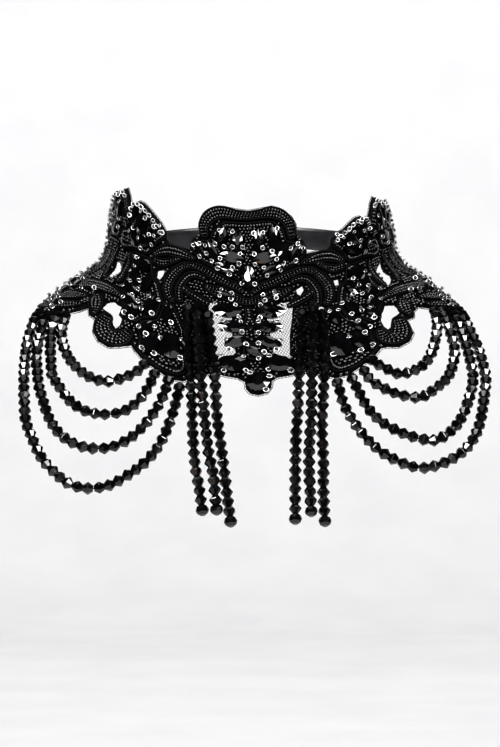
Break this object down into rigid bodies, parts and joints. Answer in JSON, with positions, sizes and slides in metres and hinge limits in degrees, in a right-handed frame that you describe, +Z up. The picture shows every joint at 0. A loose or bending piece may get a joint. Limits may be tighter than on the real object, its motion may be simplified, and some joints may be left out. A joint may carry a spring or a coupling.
{
  "type": "beaded lace choker",
  "caption": "Black beaded lace collar choker with a crown-shaped front, stone clusters on net, bead swags over the shoulders and straight bead fringes.",
  "frame": {"origin": "on the axis of the neck, level with the foot of the front neck band", "axes": "+Z up the neck, -Y to the front, +X to the right of someone who looks at the front"},
  "size_m": [0.235, 0.2041, 0.1693],
  "materials": {
    "net": "fine knitted net, matt black",
    "beaded_scrolls": "glossy black seed beads edged with twisted cord",
    "stone_beds": "glossy black seed beads around faceted black stones in silver-coloured settings",
    "stones": "polished faceted black glass",
    "strand_beads": "polished faceted black glass beads",
    "ribbon": "black satin ribbon",
    "clasp": "black-coated metal"
  },
  "bodies": {
    "root": {"net_ground": "net", "crown_arch": "beaded_scrolls", "top_leaf_left": "beaded_scrolls", "top_leaf_right": "beaded_scrolls", "c_scroll_left": "beaded_scrolls", "c_scroll_right": "beaded_scrolls", "inner_curl_left": "beaded_scrolls", "inner_curl_right": "beaded_scrolls", "hook_scroll_left": "beaded_scrolls", "hook_scroll_right": "beaded_scrolls", "teardrop_left": "beaded_scrolls", "teardrop_right": "beaded_scrolls", "shoulder_leaf_upper_left": "beaded_scrolls", "shoulder_leaf_upper_right": "beaded_scrolls", "shoulder_leaf_middle_left": "beaded_scrolls", "shoulder_leaf_middle_right": "beaded_scrolls", "shoulder_leaf_lower_left": "beaded_scrolls", "shoulder_leaf_lower_right": "beaded_scrolls", "window_leaf_outer_left": "beaded_scrolls", "window_leaf_outer_right": "beaded_scrolls", "window_leaf_inner_left": "beaded_scrolls", "window_leaf_inner_right": "beaded_scrolls", "peak_leaf_left": "beaded_scrolls", "peak_leaf_right": "beaded_scrolls", "edge_leaf_left": "beaded_scrolls", "edge_leaf_right": "beaded_scrolls", "v_leaf": "beaded_scrolls", "crown_cluster": "stone_beds", "spine_cluster": "stone_beds", "front_fan_left": "stone_beds", "front_fan_right": "stone_beds", "side_cluster_left": "stone_beds", "side_cluster_right": "stone_beds", "lower_cluster_left": "stone_beds", "lower_cluster_right": "stone_beds", "back_fan_left": "stone_beds", "back_fan_right": "stone_beds", "row_stone_left": "stones", "row_stone_right": "stones", "bottom_stone_left": "stones", "bottom_stone_right": "stones", "drop_stone": "stones", "swag_1_left": "strand_beads", "swag_2_left": "strand_beads", "swag_3_left": "strand_beads", "swag_4_left": "strand_beads", "swag_1_right": "strand_beads", "swag_2_right": "strand_beads", "swag_3_right": "strand_beads", "swag_4_right": "strand_beads", "fringe_outer_left": "strand_beads", "fringe_middle_left": "strand_beads", "fringe_inner_left": "strand_beads", "fringe_inner_right": "strand_beads", "fringe_middle_right": "strand_beads", "fringe_outer_right": "strand_beads", "ribbon_left": "ribbon", "ribbon_right": "ribbon", "clasp": "clasp"}
  },
  "joints": []
}
